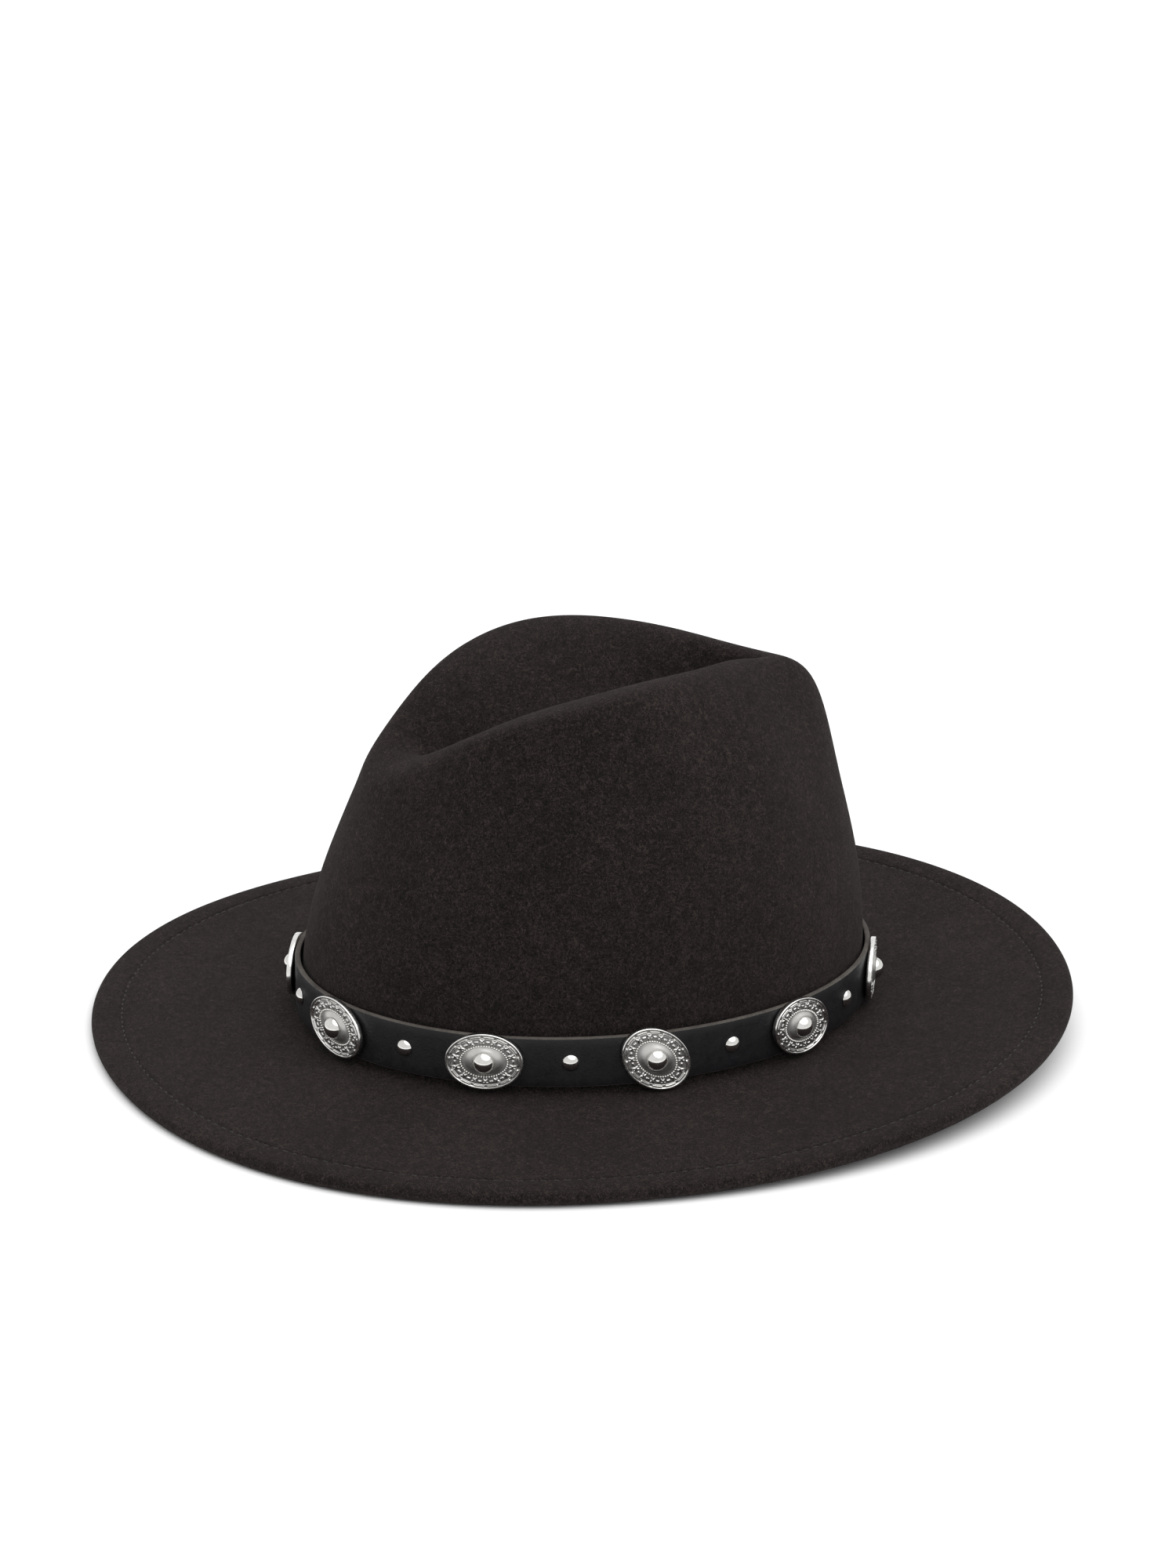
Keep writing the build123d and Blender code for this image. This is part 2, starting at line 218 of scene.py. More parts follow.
def felt_points(place, angle):
    """The felt's outside at one place along its curve, counted in control rings."""
    start = min(int(math.floor(place)), EDGE - 1)
    f = place - start
    weights = [(1 - f) ** 3, 3 * f ** 3 - 6 * f ** 2 + 4,
               -3 * f ** 3 + 3 * f ** 2 + 3 * f + 1, f ** 3]
    return sum(w / 6 * control_points(start - 1 + k, angle) for k, w in enumerate(weights))


def unit(vectors):
    return vectors / np.linalg.norm(vectors, axis=-1, keepdims=True)


def felt_normals(place, angle):
    """Unit vectors that point out of the felt's outside."""
    step = 0.01
    low = max(place - step, 0.005)
    along = felt_points(min(low + 2 * step, EDGE), angle) - felt_points(low, angle)
    around = felt_points(max(place, 0.02), angle + step) - felt_points(max(place, 0.02), angle - step)
    return -unit(np.cross(around, along))


# ---------------------------------------------------------------- meshes

ANGLE_COUNT = 640
ANGLES = np.linspace(-math.pi, math.pi, ANGLE_COUNT, endpoint=False)


def hand_shaped(place, angle):
    """How far the hand-blocked felt stands off its true curve, in mm; nothing at the band."""
    wave = (np.sin(3 * angle + 1.3 + 0.8 * place) + 0.6 * np.sin(5 * angle - 0.7 - 1.1 * place)
            + 0.4 * np.sin(8 * angle + 2.1 + 1.7 * place))
    if place < 6.2:
        return 0.28 * wave * min(1.0, 6.2 - place)
    if place > FOOT + 1.5:
        return 0.16 * (wave + 2.0) * min(1.0, (place - FOOT - 1.5) / 2)
    return 0 * wave


def felt_loop(place, angle, depth=0.0):
    """Points at a depth under the felt's outside."""
    lifted = hand_shaped(place, angle)[:, None] - depth
    return felt_points(place, angle) + felt_normals(place, angle) * lifted


def dent_line(angle, depth):
    """The loop on the crown's middle line, where the two sides of the dent meet."""
    loop = felt_loop(0.0, angle, depth)
    loop[:, 0] = 0
    return loop


def edge_loop(turn, angle):
    """The brim's rounded edge, where the felt folds under; turn runs from 0 on top to 180."""
    top = felt_loop(EDGE, angle)
    up = felt_normals(EDGE, angle)
    inward = felt_loop(EDGE - 0.2, angle) - top
    out = -unit(inward - up * np.sum(inward * up, -1, keepdims=True))
    radius = HEM_THICKNESS / 2
    t = math.radians(turn)
    return top - up * radius * (1 - math.cos(t)) + out * radius * math.sin(t)


def new_mesh(name, points, faces, materials, material_of_face=None):
    """A smooth mesh from points in mm."""
    mesh = bpy.data.meshes.new(name)
    mesh.from_pydata((np.asarray(points, float) * MM).tolist(), [], faces)
    for material in materials:
        mesh.materials.append(material)
    if material_of_face is not None:
        mesh.polygons.foreach_set("material_index", np.asarray(material_of_face, np.int32))
    mesh.polygons.foreach_set("use_smooth", np.ones(len(mesh.polygons), bool))
    mesh.update()
    return mesh


def show(name, mesh):
    piece = bpy.data.objects.new(name, mesh)
    bpy.context.scene.collection.objects.link(piece)
    return piece


def new_object(name, points, faces, materials, material_of_face=None):
    return show(name, new_mesh(name, points, faces, materials, material_of_face))


def ring_faces(row_count, column_count, closed_rows=False):
    """Quads between loops that each close on themselves."""
    faces = []
    last = row_count if closed_rows else row_count - 1
    for i in range(last):
        a = i * column_count
        b = ((i + 1) % row_count) * column_count
        for j in range(column_count):
            k = (j + 1) % column_count
            faces.append((a + j, b + j, b + k, a + k))
    return faces


def weld(piece, distance):
    """Joins points that lie together, such as the two sides of the dent line."""
    work = bmesh.new()
    work.from_mesh(piece.data)
    bmesh.ops.remove_doubles(work, verts=work.verts, dist=distance * MM)
    bmesh.ops.dissolve_degenerate(work, dist=distance * MM, edges=work.edges)
    work.to_mesh(piece.data)
    work.free()
    piece.data.update()


def place_piece(piece, body, slot_name, *replaced):
    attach(piece, body)
    if replaced:
        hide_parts(*replaced)
    return piece


# ---------------------------------------------------------------- felt and its sewing

def groove(place):
    """Depth of the sewn groove near the stitch line, in mm."""
    return GROOVE_DEPTH * math.exp(-((place - STITCH_LINE) / GROOVE_REACH) ** 2)


def puff(place):
    """How far the doubled hem swells between the groove and the edge, in mm."""
    share = (place - STITCH_LINE) / (EDGE - STITCH_LINE)
    return HEM_PUFF * math.sin(math.pi * min(1.0, max(0.0, share)))


def felt_piece(material):
    """The felt as loops: down the outside, round the edge, under the hem and up the inside."""
    rows = [dent_line(ANGLES, 0)]
    for place in np.linspace(0.12, FOOT - 0.5, 88):
        rows.append(felt_loop(place, ANGLES))
    for place in np.linspace(FOOT - 0.4, FOOT + 1, 18):
        rows.append(felt_loop(place, ANGLES))
    for place in np.linspace(FOOT + 1.1, STITCH_LINE - 0.15, 26):
        rows.append(felt_loop(place, ANGLES))
    for place in np.linspace(STITCH_LINE - 0.10, EDGE - 0.02, 30):
        rows.append(felt_loop(place, ANGLES, groove(place) - puff(place)))
    for turn in np.linspace(0, 180, 13):
        rows.append(edge_loop(turn, ANGLES))
    for place in np.linspace(EDGE - 0.04, HEM_FOLD + 0.01, 30):
        rows.append(felt_loop(place, ANGLES, HEM_THICKNESS - groove(place)))
    rows.append(felt_loop(HEM_FOLD - 0.010, ANGLES, HEM_THICKNESS - 0.5))
    rows.append(felt_loop(HEM_FOLD - 0.022, ANGLES, HEM_THICKNESS - 1.4))
    rows.append(felt_loop(HEM_FOLD - 0.020, ANGLES, FELT + 0.3))
    rows.append(felt_loop(HEM_FOLD - 0.060, ANGLES, FELT))
    for place in np.linspace(HEM_FOLD - 0.3, FOOT + 1, 16):
        rows.append(felt_loop(place, ANGLES, FELT))
    for place in np.linspace(FOOT + 0.9, FOOT - 0.5, 14):
        rows.append(felt_loop(place, ANGLES, FELT))
    for place in np.linspace(FOOT - 0.7, 0.3, 50):
        rows.append(felt_loop(place, ANGLES, FELT))
    rows.append(dent_line(ANGLES, FELT))
    piece = new_object("felt", np.concatenate(rows), ring_faces(len(rows), ANGLE_COUNT), [material])
    weld(piece, 0.02)
    return place_piece(piece, "hat", "felt", "felt_body")


def loop_angles(place, pitch):
    """Angles that divide a felt loop into whole equal steps of about this pitch."""
    fine = np.linspace(-math.pi, math.pi, 4001)
    points = felt_points(place, fine)
    steps = np.linalg.norm(np.diff(points, axis=0), axis=1)
    distance = np.concatenate([[0], np.cumsum(steps)])
    count = int(round(distance[-1] / pitch))
    return np.interp(np.arange(count) / count * distance[-1], distance, fine), distance[-1] / count


def tube_points(line, radius_of, side_count):
    """Rings of a tube along a line of points, with a radius at each."""
    along = unit(np.gradient(line, axis=0))
    side = unit(np.cross(along, np.array([0.0, 0.0, 1.0])))
    up = np.cross(side, along)
    rings = []
    for point, a, b, radius in zip(line, side, up, radius_of):
        for k in range(side_count):
            t = 2 * math.pi * k / side_count
            rings.append(point + radius * (a * math.cos(t) + b * math.sin(t)))
    return rings


def stitch_ring(name, place, depth, direction, body_slot, material, replaced, extra=()):
    """A round of single stitches. Each one rises out of the felt, lies along it and dives back.

    direction is -1 where the stitches show on the felt's outside and 1 where they show inside."""
    starts, pitch = loop_angles(place, STITCH_PITCH)
    per_length = (2 * math.pi) / (len(starts) * pitch)
    rng = random.Random(7)
    points, faces = [], []
    spans = [(start, place) for start in starts]
    spans += list(extra)
    for start, line_place in spans:
        length = STITCH_LENGTH * rng.uniform(0.9, 1.08)
        angles = start + np.linspace(0, length, STITCH_POINTS) * per_length
        share = np.linspace(-1, 1, STITCH_POINTS)
        drift = rng.uniform(-0.006, 0.006)
        base = felt_points(line_place + drift, angles)
        normal = felt_normals(line_place, angles)
        dive = 0.55 * np.abs(share) ** 3
        lifted = hand_shaped(line_place, angles) - depth - direction * (0.12 - dive)
        line = base + normal * lifted[:, None]
        radius = STITCH_RADIUS * np.sqrt(np.clip(1.04 - share ** 4, 0.05, 1))
        first = len(points)
        points += tube_points(line, radius, STITCH_SIDES)
        for i in range(STITCH_POINTS - 1):
            a = first + i * STITCH_SIDES
            b = a + STITCH_SIDES
            for k in range(STITCH_SIDES):
                m = (k + 1) % STITCH_SIDES
                faces.append((a + k, a + m, b + m, b + k))
        last = first + (STITCH_POINTS - 1) * STITCH_SIDES
        faces.append(tuple(first + k for k in reversed(range(STITCH_SIDES))))
        faces.append(tuple(last + k for k in range(STITCH_SIDES)))
    piece = new_object(name, points, faces, [material])
    return place_piece(piece, "hat", body_slot, replaced)


def back_tack():
    """The few stitches that go over the seam again, towards the back on the wearer's left."""
    start = math.radians(BACK_TACK_ANGLE)
    step = math.radians(BACK_TACK_STEP)
    return [(start + k * step, STITCH_LINE - 0.030 + 0.004 * k) for k in range(BACK_TACK_STITCHES)]


def sweatband_piece(material):
    """A ribbed band inside the crown, with rounded edges and a slightly waving top."""
    near = FELT + SWEATBAND_GAP
    far = near + SWEATBAND_THICKNESS
    middle = (near + far) / 2
    half = SWEATBAND_THICKNESS / 2
    places = np.linspace(SWEATBAND_BOTTOM, SWEATBAND_TOP, 16)
    rows = []
    for place in places:
        rows.append(felt_loop(place, ANGLES, near))
    for turn in (45, 90, 135):
        t = math.radians(turn)
        rows.append(felt_loop(places[-1] - 0.012 * math.sin(t), ANGLES, middle - half * math.cos(t)))
    for place in places[::-1]:
        rows.append(felt_loop(place, ANGLES, far))
    for turn in (135, 90, 45):
        t = math.radians(turn)
        rows.append(felt_loop(places[0] + 0.012 * math.sin(t), ANGLES, middle - half * math.cos(t)))
    piece = new_object("sweatband", np.concatenate(rows),
                       ring_faces(len(rows), ANGLE_COUNT, closed_rows=True), [material])
    return place_piece(piece, "hat", "sweatband_cloth", "sweatband")


# ---------------------------------------------------------------- leather strap

def strap_oval(turn, offset):
    """Points this far outside the strap's inner oval; turn is in degrees from the front."""
    angle = np.radians(turn)
    on_oval = np.stack([STRAP_HALF_WIDTH * np.sin(angle), -STRAP_HALF_LENGTH * np.cos(angle),
                        0 * angle], -1)
    out = np.stack([np.sin(angle) / STRAP_HALF_WIDTH, -np.cos(angle) / STRAP_HALF_LENGTH,
                    0 * angle], -1)
    return on_oval + unit(out) * np.asarray(offset)[..., None]


TURNS = np.arange(361.0)
CHORDS = np.linalg.norm(np.diff(strap_oval(TURNS, 0 * TURNS + STRAP_THICKNESS / 2), axis=0), axis=1)
DISTANCES = np.concatenate([[0], np.cumsum(CHORDS)])
GIRTH = DISTANCES[-1]
PITCH = GIRTH / FITTINGS
JOIN_START = (JOIN_CONCHO - 0.5) * PITCH - OVERLAP / 2
JOIN_LIFT = STRAP_THICKNESS + LAYER_GAP


def strap_points(distance, depth):
    """Points on the strap at floor level; depth runs from 0 inside to its thickness."""
    distance = np.asarray(distance, float)
    share = np.clip((distance - (JOIN_START + GIRTH - OVERLAP_RAMP)) / OVERLAP_RAMP, 0, 1)
    lift = JOIN_LIFT * share * share * (3 - 2 * share)
    return strap_oval(np.interp(distance % GIRTH, DISTANCES, TURNS), depth + lift)


def fitting_matrix(distance, turn=0.0):
    """Where a fitting sits on the strap: x to the viewer's right, y up, z outward; turn is clockwise."""
    if distance < JOIN_START + OVERLAP:
        distance += GIRTH
    here, before, after = strap_points([distance, distance - 0.5, distance + 0.5], STRAP_THICKNESS)
    x = Vector(after - before).normalized()
    y = Vector((0, 0, 1))
    z = x.cross(y)
    height = STRAP_BOTTOM + STRAP_HEIGHT / 2
    at = Vector((here[0], here[1], height)) * MM
    columns = Matrix((x, y, z)).transposed().to_4x4()
    return Matrix.Translation(at) @ columns @ Matrix.Rotation(math.radians(-turn), 4, "Z")


def strap_section():
    """(depth, height) round the strap's rounded section, and whether each side of it is a cut edge."""
    depth, height, r = STRAP_THICKNESS, STRAP_HEIGHT, EDGE_ROUND
    corners = [(depth - r, height - r, 0), (r, height - r, 90), (r, r, 180), (depth - r, r, 270)]
    outline, cut = [], []
    for x, y, start in corners:
        for k in range(5):
            t = math.radians(start + 90 * k / 4)
            outline.append((x + r * math.cos(t), y + r * math.sin(t)))
        if start in (90, 270):
            for k in range(1, 6):
                run = (height - 2 * r) * k / 6
                side = x - r if start == 90 else x + r
                outline.append((side, y - run if start == 90 else y + run))
    for k, (x, y) in enumerate(outline):
        nx, ny = outline[(k + 1) % len(outline)]
        middle = (y + ny) / 2
        cut.append(middle > height - r * 0.8 or middle < r * 0.8)
    return outline, cut


def strap_piece(grain, raw_edge):
    """The strap swept round once, with its ends lapped over each other."""
    outline, cut = strap_section()
    distance = np.linspace(JOIN_START, JOIN_START + GIRTH + OVERLAP, STRAP_STATIONS)
    columns = []
    for depth, height in outline:
        loose = LOOSENESS * height / STRAP_HEIGHT * (1 + np.sin(distance / 31 + 1.0) * np.sin(distance / 47))
        line = strap_points(distance, depth + loose * 0.6)
        line[:, 2] = STRAP_BOTTOM + height + EDGE_WAVE * np.sin(distance / 39 + 0.4)
        columns.append(line)
    points = np.stack(columns, 1).reshape(-1, 3)
    count = len(outline)
    faces, materials = [], []
    for i in range(STRAP_STATIONS - 1):
        for k in range(count):
            m = (k + 1) % count
            faces.append((i * count + k, i * count + m, (i + 1) * count + m, (i + 1) * count + k))
            materials.append(1 if cut[k] else 0)
    last = (STRAP_STATIONS - 1) * count
    faces.append(tuple(reversed(range(count))))
    faces.append(tuple(last + k for k in range(count)))
    materials += [1, 1]
    piece = new_object("strap", points, faces, [grain, raw_edge], materials)
    return place_piece(piece, "hat_band", "strap_leather", "band_strap")


# ---------------------------------------------------------------- metal fittings

PLATE_BACK = CONCHO_STANDOFF
PLATE_TOP = CONCHO_STANDOFF + CONCHO_THICKNESS
PLATE_SHARES = [0, BOSS_SHARE, BEAD_SHARE, 1]
PLATE_GROUND = PLATE_TOP - 0.22      # the relief's low parts are below this
FACE_SHARES = np.concatenate([
    [HOLE_SHARE, 0.2, 0.27], np.linspace(0.30, DISH_SHARE, 8), [0.58, 0.64],
    np.linspace(0.66, 0.83, 18), [0.838, 0.843, 0.850, 0.857, 0.862],
    [0.868, 0.874, 0.880, 0.890, 0.900, 0.906, 0.912, 0.918],
    [0.925, 0.932, 0.938, 0.944, 0.950, 0.968, 0.982, 0.992]])
BACK_ROWS = [(1.0, PLATE_TOP - 0.28), (1.003, (PLATE_TOP + PLATE_BACK) / 2), (1.0, PLATE_BACK + 0.15),
             (0.99, PLATE_BACK), (0.6, PLATE_BACK), (HOLE_SHARE, PLATE_BACK)]


def smooth(value, low, high):
    share = np.clip((value - low) / (high - low), 0, 1)
    return share * share * (3 - 2 * share)


def plate_half_length(share):
    return np.interp(share, PLATE_SHARES, [0, BOSS_RADIUS, BEAD_HALF_LENGTH, CONCHO_HALF_LENGTH])


def plate_half_height(share):
    return np.interp(share, PLATE_SHARES, [0, BOSS_RADIUS, BEAD_HALF_HEIGHT, CONCHO_HALF_HEIGHT])


def even_angles():
    """Angles that divide the concho's outline into equal lengths."""
    fine = np.linspace(0, 2 * math.pi, 3601)
    steps = np.hypot(np.diff(CONCHO_HALF_LENGTH * np.cos(fine)),
                     np.diff(CONCHO_HALF_HEIGHT * np.sin(fine)))
    distance = np.concatenate([[0], np.cumsum(steps)]) / np.sum(steps)
    return np.interp(np.arange(AROUND) / AROUND, distance, fine)


def motif(share, around):
    """Height share of the stamped pattern: crossed strokes with short bars between them."""
    cell = (around * MOTIFS) % 1.0
    along = (cell - 0.5) * 4.2
    across = (share - 0.745) * 11.5
    stroke = np.minimum(np.abs(along - across), np.abs(along + across)) / math.sqrt(2)
    cross = (1 - smooth(stroke, 0.20, 0.36)) * (1 - smooth(np.abs(along), 0.62, 0.82))
    centre = 1 - smooth(np.hypot(along, across), 0.28, 0.45)
    from_bar = np.abs(np.abs(along) - 2.1)
    bar = (1 - smooth(from_bar, 0.50, 0.66)) * (1 - smooth(np.abs(across), 0.18, 0.34))
    return np.maximum(np.maximum(cross, centre), bar)


def dashes(around):
    cell = (around * MOTIFS + 0.5) % 1.0
    return 1 - smooth(np.abs(cell - 0.5), 0.35, 0.40)


def plate_height(share, around):
    """Height of the plate's face above the leather at a share of its size, for points around it."""
    flat = 0 * around
    if share > 0.945:
        return flat + PLATE_TOP - 0.10 * smooth(share, 0.985, 1.0)
    if share > 0.92:
        return flat + PLATE_TOP - 0.34 * math.sin(math.pi * (0.945 - share) / 0.05)
    if share > 0.86:
        inside = 1 - smooth(np.abs(share - 0.892), 0.016, 0.027)
        return flat + PLATE_TOP - 0.36 + 0.38 * inside * dashes(around)
    if share > 0.84:
        return flat + PLATE_TOP - 0.34 + 0.22 * (1 - smooth(abs(share - 0.85), 0.003, 0.009))
    if share > 0.655:
        return flat + PLATE_TOP - 0.34 + 0.30 * motif(share, around)
    if share > DISH_SHARE:
        return flat + PLATE_TOP - 0.34
    return flat + PLATE_TOP - 0.30 + (BOSS_RISE + 0.30) * (1 - smooth(share, 0.27, DISH_SHARE)) ** 1.2


def plate_rows(angles):
    """Loops of the plate from its hole over the face and round the back to the hole again."""
    around = np.arange(AROUND) / AROUND
    rows = [(share, plate_height(share, around)) for share in FACE_SHARES]
    rows += [(share, 0 * around + height) for share, height in BACK_ROWS]
    return [np.stack([plate_half_length(share) * np.cos(angles),
                      plate_half_height(share) * np.sin(angles), heights], -1)
            for share, heights in rows]


def face_finish(share, height):
    """Material number on the plate's face: 0 pressed, 1 satin in the dish, 2 aged in the relief's ground."""
    if share <= DISH_SHARE:
        return 1
    return 2 if height < PLATE_GROUND else 0


def plate_faces(rows):
    """Quads between the plate's loops, and the material number of each."""
    faces = ring_faces(len(rows), AROUND, closed_rows=True)
    finishes = []
    for i in range(len(FACE_SHARES) - 1):
        share = (FACE_SHARES[i] + FACE_SHARES[i + 1]) / 2
        for j in range(AROUND):
            height = (rows[i][j, 2] + rows[i + 1][(j + 1) % AROUND, 2]) / 2
            finishes.append(face_finish(share, height))
    finishes += [0] * (len(faces) - len(finishes))
    return faces, finishes


def bead_circle(x, y, reach, height):
    turns = [2 * math.pi * m / BEAD_SIDES for m in range(BEAD_SIDES)]
    return [(x + reach * math.cos(turn), y + reach * math.sin(turn), height) for turn in turns]


def add_bead(points, faces, x, y):
    """A round bead on a short skirt sunk into the plate; its four rings close in on a top point."""
    first = len(points)
    for ring_index in range(4):
        tilt = math.radians(12 + 24 * ring_index)
        points += bead_circle(x, y, BEAD_RADIUS * math.cos(tilt), PLATE_TOP - 0.36 + 0.40 * math.sin(tilt))
    points.append((x, y, PLATE_TOP + 0.05))
    points += bead_circle(x, y, BEAD_RADIUS, PLATE_TOP - 0.70)
    top = first + 4 * BEAD_SIDES
    skirt = top + 1
    last_ring = top - BEAD_SIDES
    for m in range(BEAD_SIDES):
        n = (m + 1) % BEAD_SIDES
        faces.append((skirt + m, skirt + n, first + n, first + m))
        for ring_index in range(3):
            a = first + BEAD_SIDES * ring_index
            faces.append((a + m, a + n, a + BEAD_SIDES + n, a + BEAD_SIDES + m))
        faces.append((last_ring + m, last_ring + n, top))
    faces.append(tuple(skirt + m for m in reversed(range(BEAD_SIDES))))


def concho_mesh(pressed, satin, aged):
    """The stamped plate with its oval of beads."""
    angles = even_angles()
    rows = plate_rows(angles)
    faces, finishes = plate_faces(rows)
    points = list(np.concatenate(rows))
    whole_turn = np.append(angles, 2 * math.pi)
    for k in range(BEADS):
        t = np.interp(k / BEADS, np.arange(AROUND + 1) / AROUND, whole_turn)
        add_bead(points, faces, plate_half_length(BEAD_SHARE) * math.cos(t),
                 plate_half_height(BEAD_SHARE) * math.sin(t))
    finishes += [0] * (len(faces) - len(finishes))
    return new_mesh("concho_relief", points, faces, (pressed, satin, aged), finishes)


def lathe_mesh(name, profile, material, around=56):
    """A turned solid from (radius, height) points, from the bottom of its axis to the top."""
    points = [(0, 0, profile[0][1])]
    faces = []
    for radius, height in profile:
        for k in range(around):
            t = 2 * math.pi * k / around
            points.append((radius * math.cos(t), radius * math.sin(t), height))
    points.append((0, 0, profile[-1][1]))
    top = len(points) - 1
    for k in range(around):
        m = (k + 1) % around
        faces.append((0, 1 + m, 1 + k))
        for i in range(len(profile) - 1):
            a = 1 + i * around
            faces.append((a + k, a + m, a + around + m, a + around + k))
        a = 1 + (len(profile) - 1) * around
        faces.append((a + k, a + m, top))
    return new_mesh(name, points, faces, [material])


def dome_profile(shank, shank_bottom, radius, height, seat):
    """A shank under a cap of a sphere whose rim is slightly rounded."""
    ball = (radius ** 2 + height ** 2) / (2 * height)
    profile = [(shank - 0.1, shank_bottom), (shank, shank_bottom + 0.1), (shank, seat - 0.02),
               (shank + 0.02, seat), (radius - 0.30, seat), (radius - 0.10, seat + 0.04)]
    start = math.asin(min(1.0, radius / ball)) if height < ball else math.pi / 2
    for k in range(19):
        t = start * (1 - (k + 0.6) / 19.6)
        profile.append((ball * math.sin(t), seat + height - ball + ball * math.cos(t)))
    return profile


def fitting_piece(name, mesh, matrix, body, *replaced):
    piece = show(name, mesh)
    piece.matrix_world = matrix
    return place_piece(piece, body, "plated_metal", *replaced)


def strap_layers(distance):
    """Thickness of leather under a fitting, both layers at the join."""
    doubled = JOIN_START < distance < JOIN_START + OVERLAP
    return STRAP_THICKNESS + (JOIN_LIFT if doubled else 0)


def metal_fittings(polished, pressed, satin, aged):
    """The conchos, the rivets through them and the studs between them."""
    relief = concho_mesh(pressed, satin, aged)
    seat = PLATE_TOP + BOSS_RISE + RIVET_SEAT_GAP
    for number in range(1, FITTINGS + 1):
        distance = (number - 0.5) * PITCH
        plate = fitting_matrix(distance, CONCHO_TURNS[number - 1])
        fitting_piece(f"concho_relief_{number:02d}", relief, plate,
                      f"concho_{number:02d}_plate", f"concho_{number:02d}")
        bottom = 0.02 - strap_layers(distance)
        profile = dome_profile(RIVET_SHANK, bottom, RIVET_DOME_RADIUS, RIVET_DOME_HEIGHT, seat)
        rivet = lathe_mesh("rivet_cap", profile, polished)
        fitting_piece(f"rivet_cap_{number:02d}", rivet, fitting_matrix(distance),
                      "hat_band", f"concho_rivet_{number:02d}")
        distance = (number - 1) * PITCH
        bottom = 0.02 - strap_layers(distance)
        profile = dome_profile(STUD_SHANK, bottom, STUD_RADIUS, STUD_HEIGHT, STUD_SEAT)
        stud = lathe_mesh("stud_cap", profile, polished)
        fitting_piece(f"stud_cap_{number:02d}", stud, fitting_matrix(distance),
                      "hat_band", f"dome_stud_{number:02d}")


# ---------------------------------------------------------------- materials

class Shader:
    """A small helper for building one node material."""

    def __init__(self, name):
        self.material = bpy.data.materials.new(name)
        self.material.use_nodes = True
        self.tree = self.material.node_tree
        self.surface = self.tree.nodes["Principled BSDF"]
        self.coordinates = self.tree.nodes.new("ShaderNodeTexCoord").outputs["Object"]

    def set(self, **values):
        for name, value in values.items():
            self.surface.inputs[name.replace("_", " ")].default_value = value

    def noise(self, scale, detail=4.0, roughness=0.55, distortion=0.0, stretch=None):
        node = self.tree.nodes.new("ShaderNodeTexNoise")
        node.inputs["Scale"].default_value = scale
        node.inputs["Detail"].default_value = detail
        node.inputs["Roughness"].default_value = roughness
        node.inputs["Distortion"].default_value = distortion
        source = self.coordinates
        if stretch is not None:
            mapping = self.tree.nodes.new("ShaderNodeMapping")
            mapping.inputs["Scale"].default_value = stretch
            self.tree.links.new(source, mapping.inputs["Vector"])
            source = mapping.outputs["Vector"]
        self.tree.links.new(source, node.inputs["Vector"])
        return node.outputs["Fac"]

    def cells(self, scale):
        node = self.tree.nodes.new("ShaderNodeTexVoronoi")
        node.inputs["Scale"].default_value = scale
        self.tree.links.new(self.coordinates, node.inputs["Vector"])
        return node.outputs["Distance"]

    def ramp(self, value, *stops):
        node = self.tree.nodes.new("ShaderNodeValToRGB")
        while len(node.color_ramp.elements) < len(stops):
            node.color_ramp.elements.new(0.5)
        for element, (position, colour) in zip(node.color_ramp.elements, stops):
            element.position = position
            element.color = (*colour, 1)
        self.tree.links.new(value, node.inputs["Fac"])
        return node.outputs["Color"]

    def math(self, operation, a, b):
        node = self.tree.nodes.new("ShaderNodeMath")
        node.operation = operation
        for socket, value in zip(node.inputs, (a, b)):
            if isinstance(value, (int, float)):
                socket.default_value = value
            else:
                self.tree.links.new(value, socket)
        return node.outputs["Value"]

    def mix(self, share, a, b):
        node = self.tree.nodes.new("ShaderNodeMix")
        node.data_type = "RGBA"
        self.tree.links.new(share, node.inputs["Factor"])
        for name, value in (("A", a), ("B", b)):
            socket = [s for s in node.inputs if s.name == name and s.type == "RGBA"][0]
            if isinstance(value, tuple):
                socket.default_value = (*value, 1)
            else:
                self.tree.links.new(value, socket)
        return [s for s in node.outputs if s.type == "RGBA"][0]

    def spread(self, value, low, high):
        node = self.tree.nodes.new("ShaderNodeMapRange")
        node.inputs["To Min"].default_value = low
        node.inputs["To Max"].default_value = high
        node.inputs["From Min"].default_value = 0.3
        node.inputs["From Max"].default_value = 0.7
        self.tree.links.new(value, node.inputs["Value"])
        return node.outputs["Result"]

    def bump(self, height, distance, strength=1.0, after=None):
        node = self.tree.nodes.new("ShaderNodeBump")
        node.inputs["Distance"].default_value = distance
        node.inputs["Strength"].default_value = strength
        self.tree.links.new(height, node.inputs["Height"])
        if after is not None:
            self.tree.links.new(after, node.inputs["Normal"])
        return node.outputs["Normal"]

    def link(self, value, socket_name):
        self.tree.links.new(value, self.surface.inputs[socket_name])


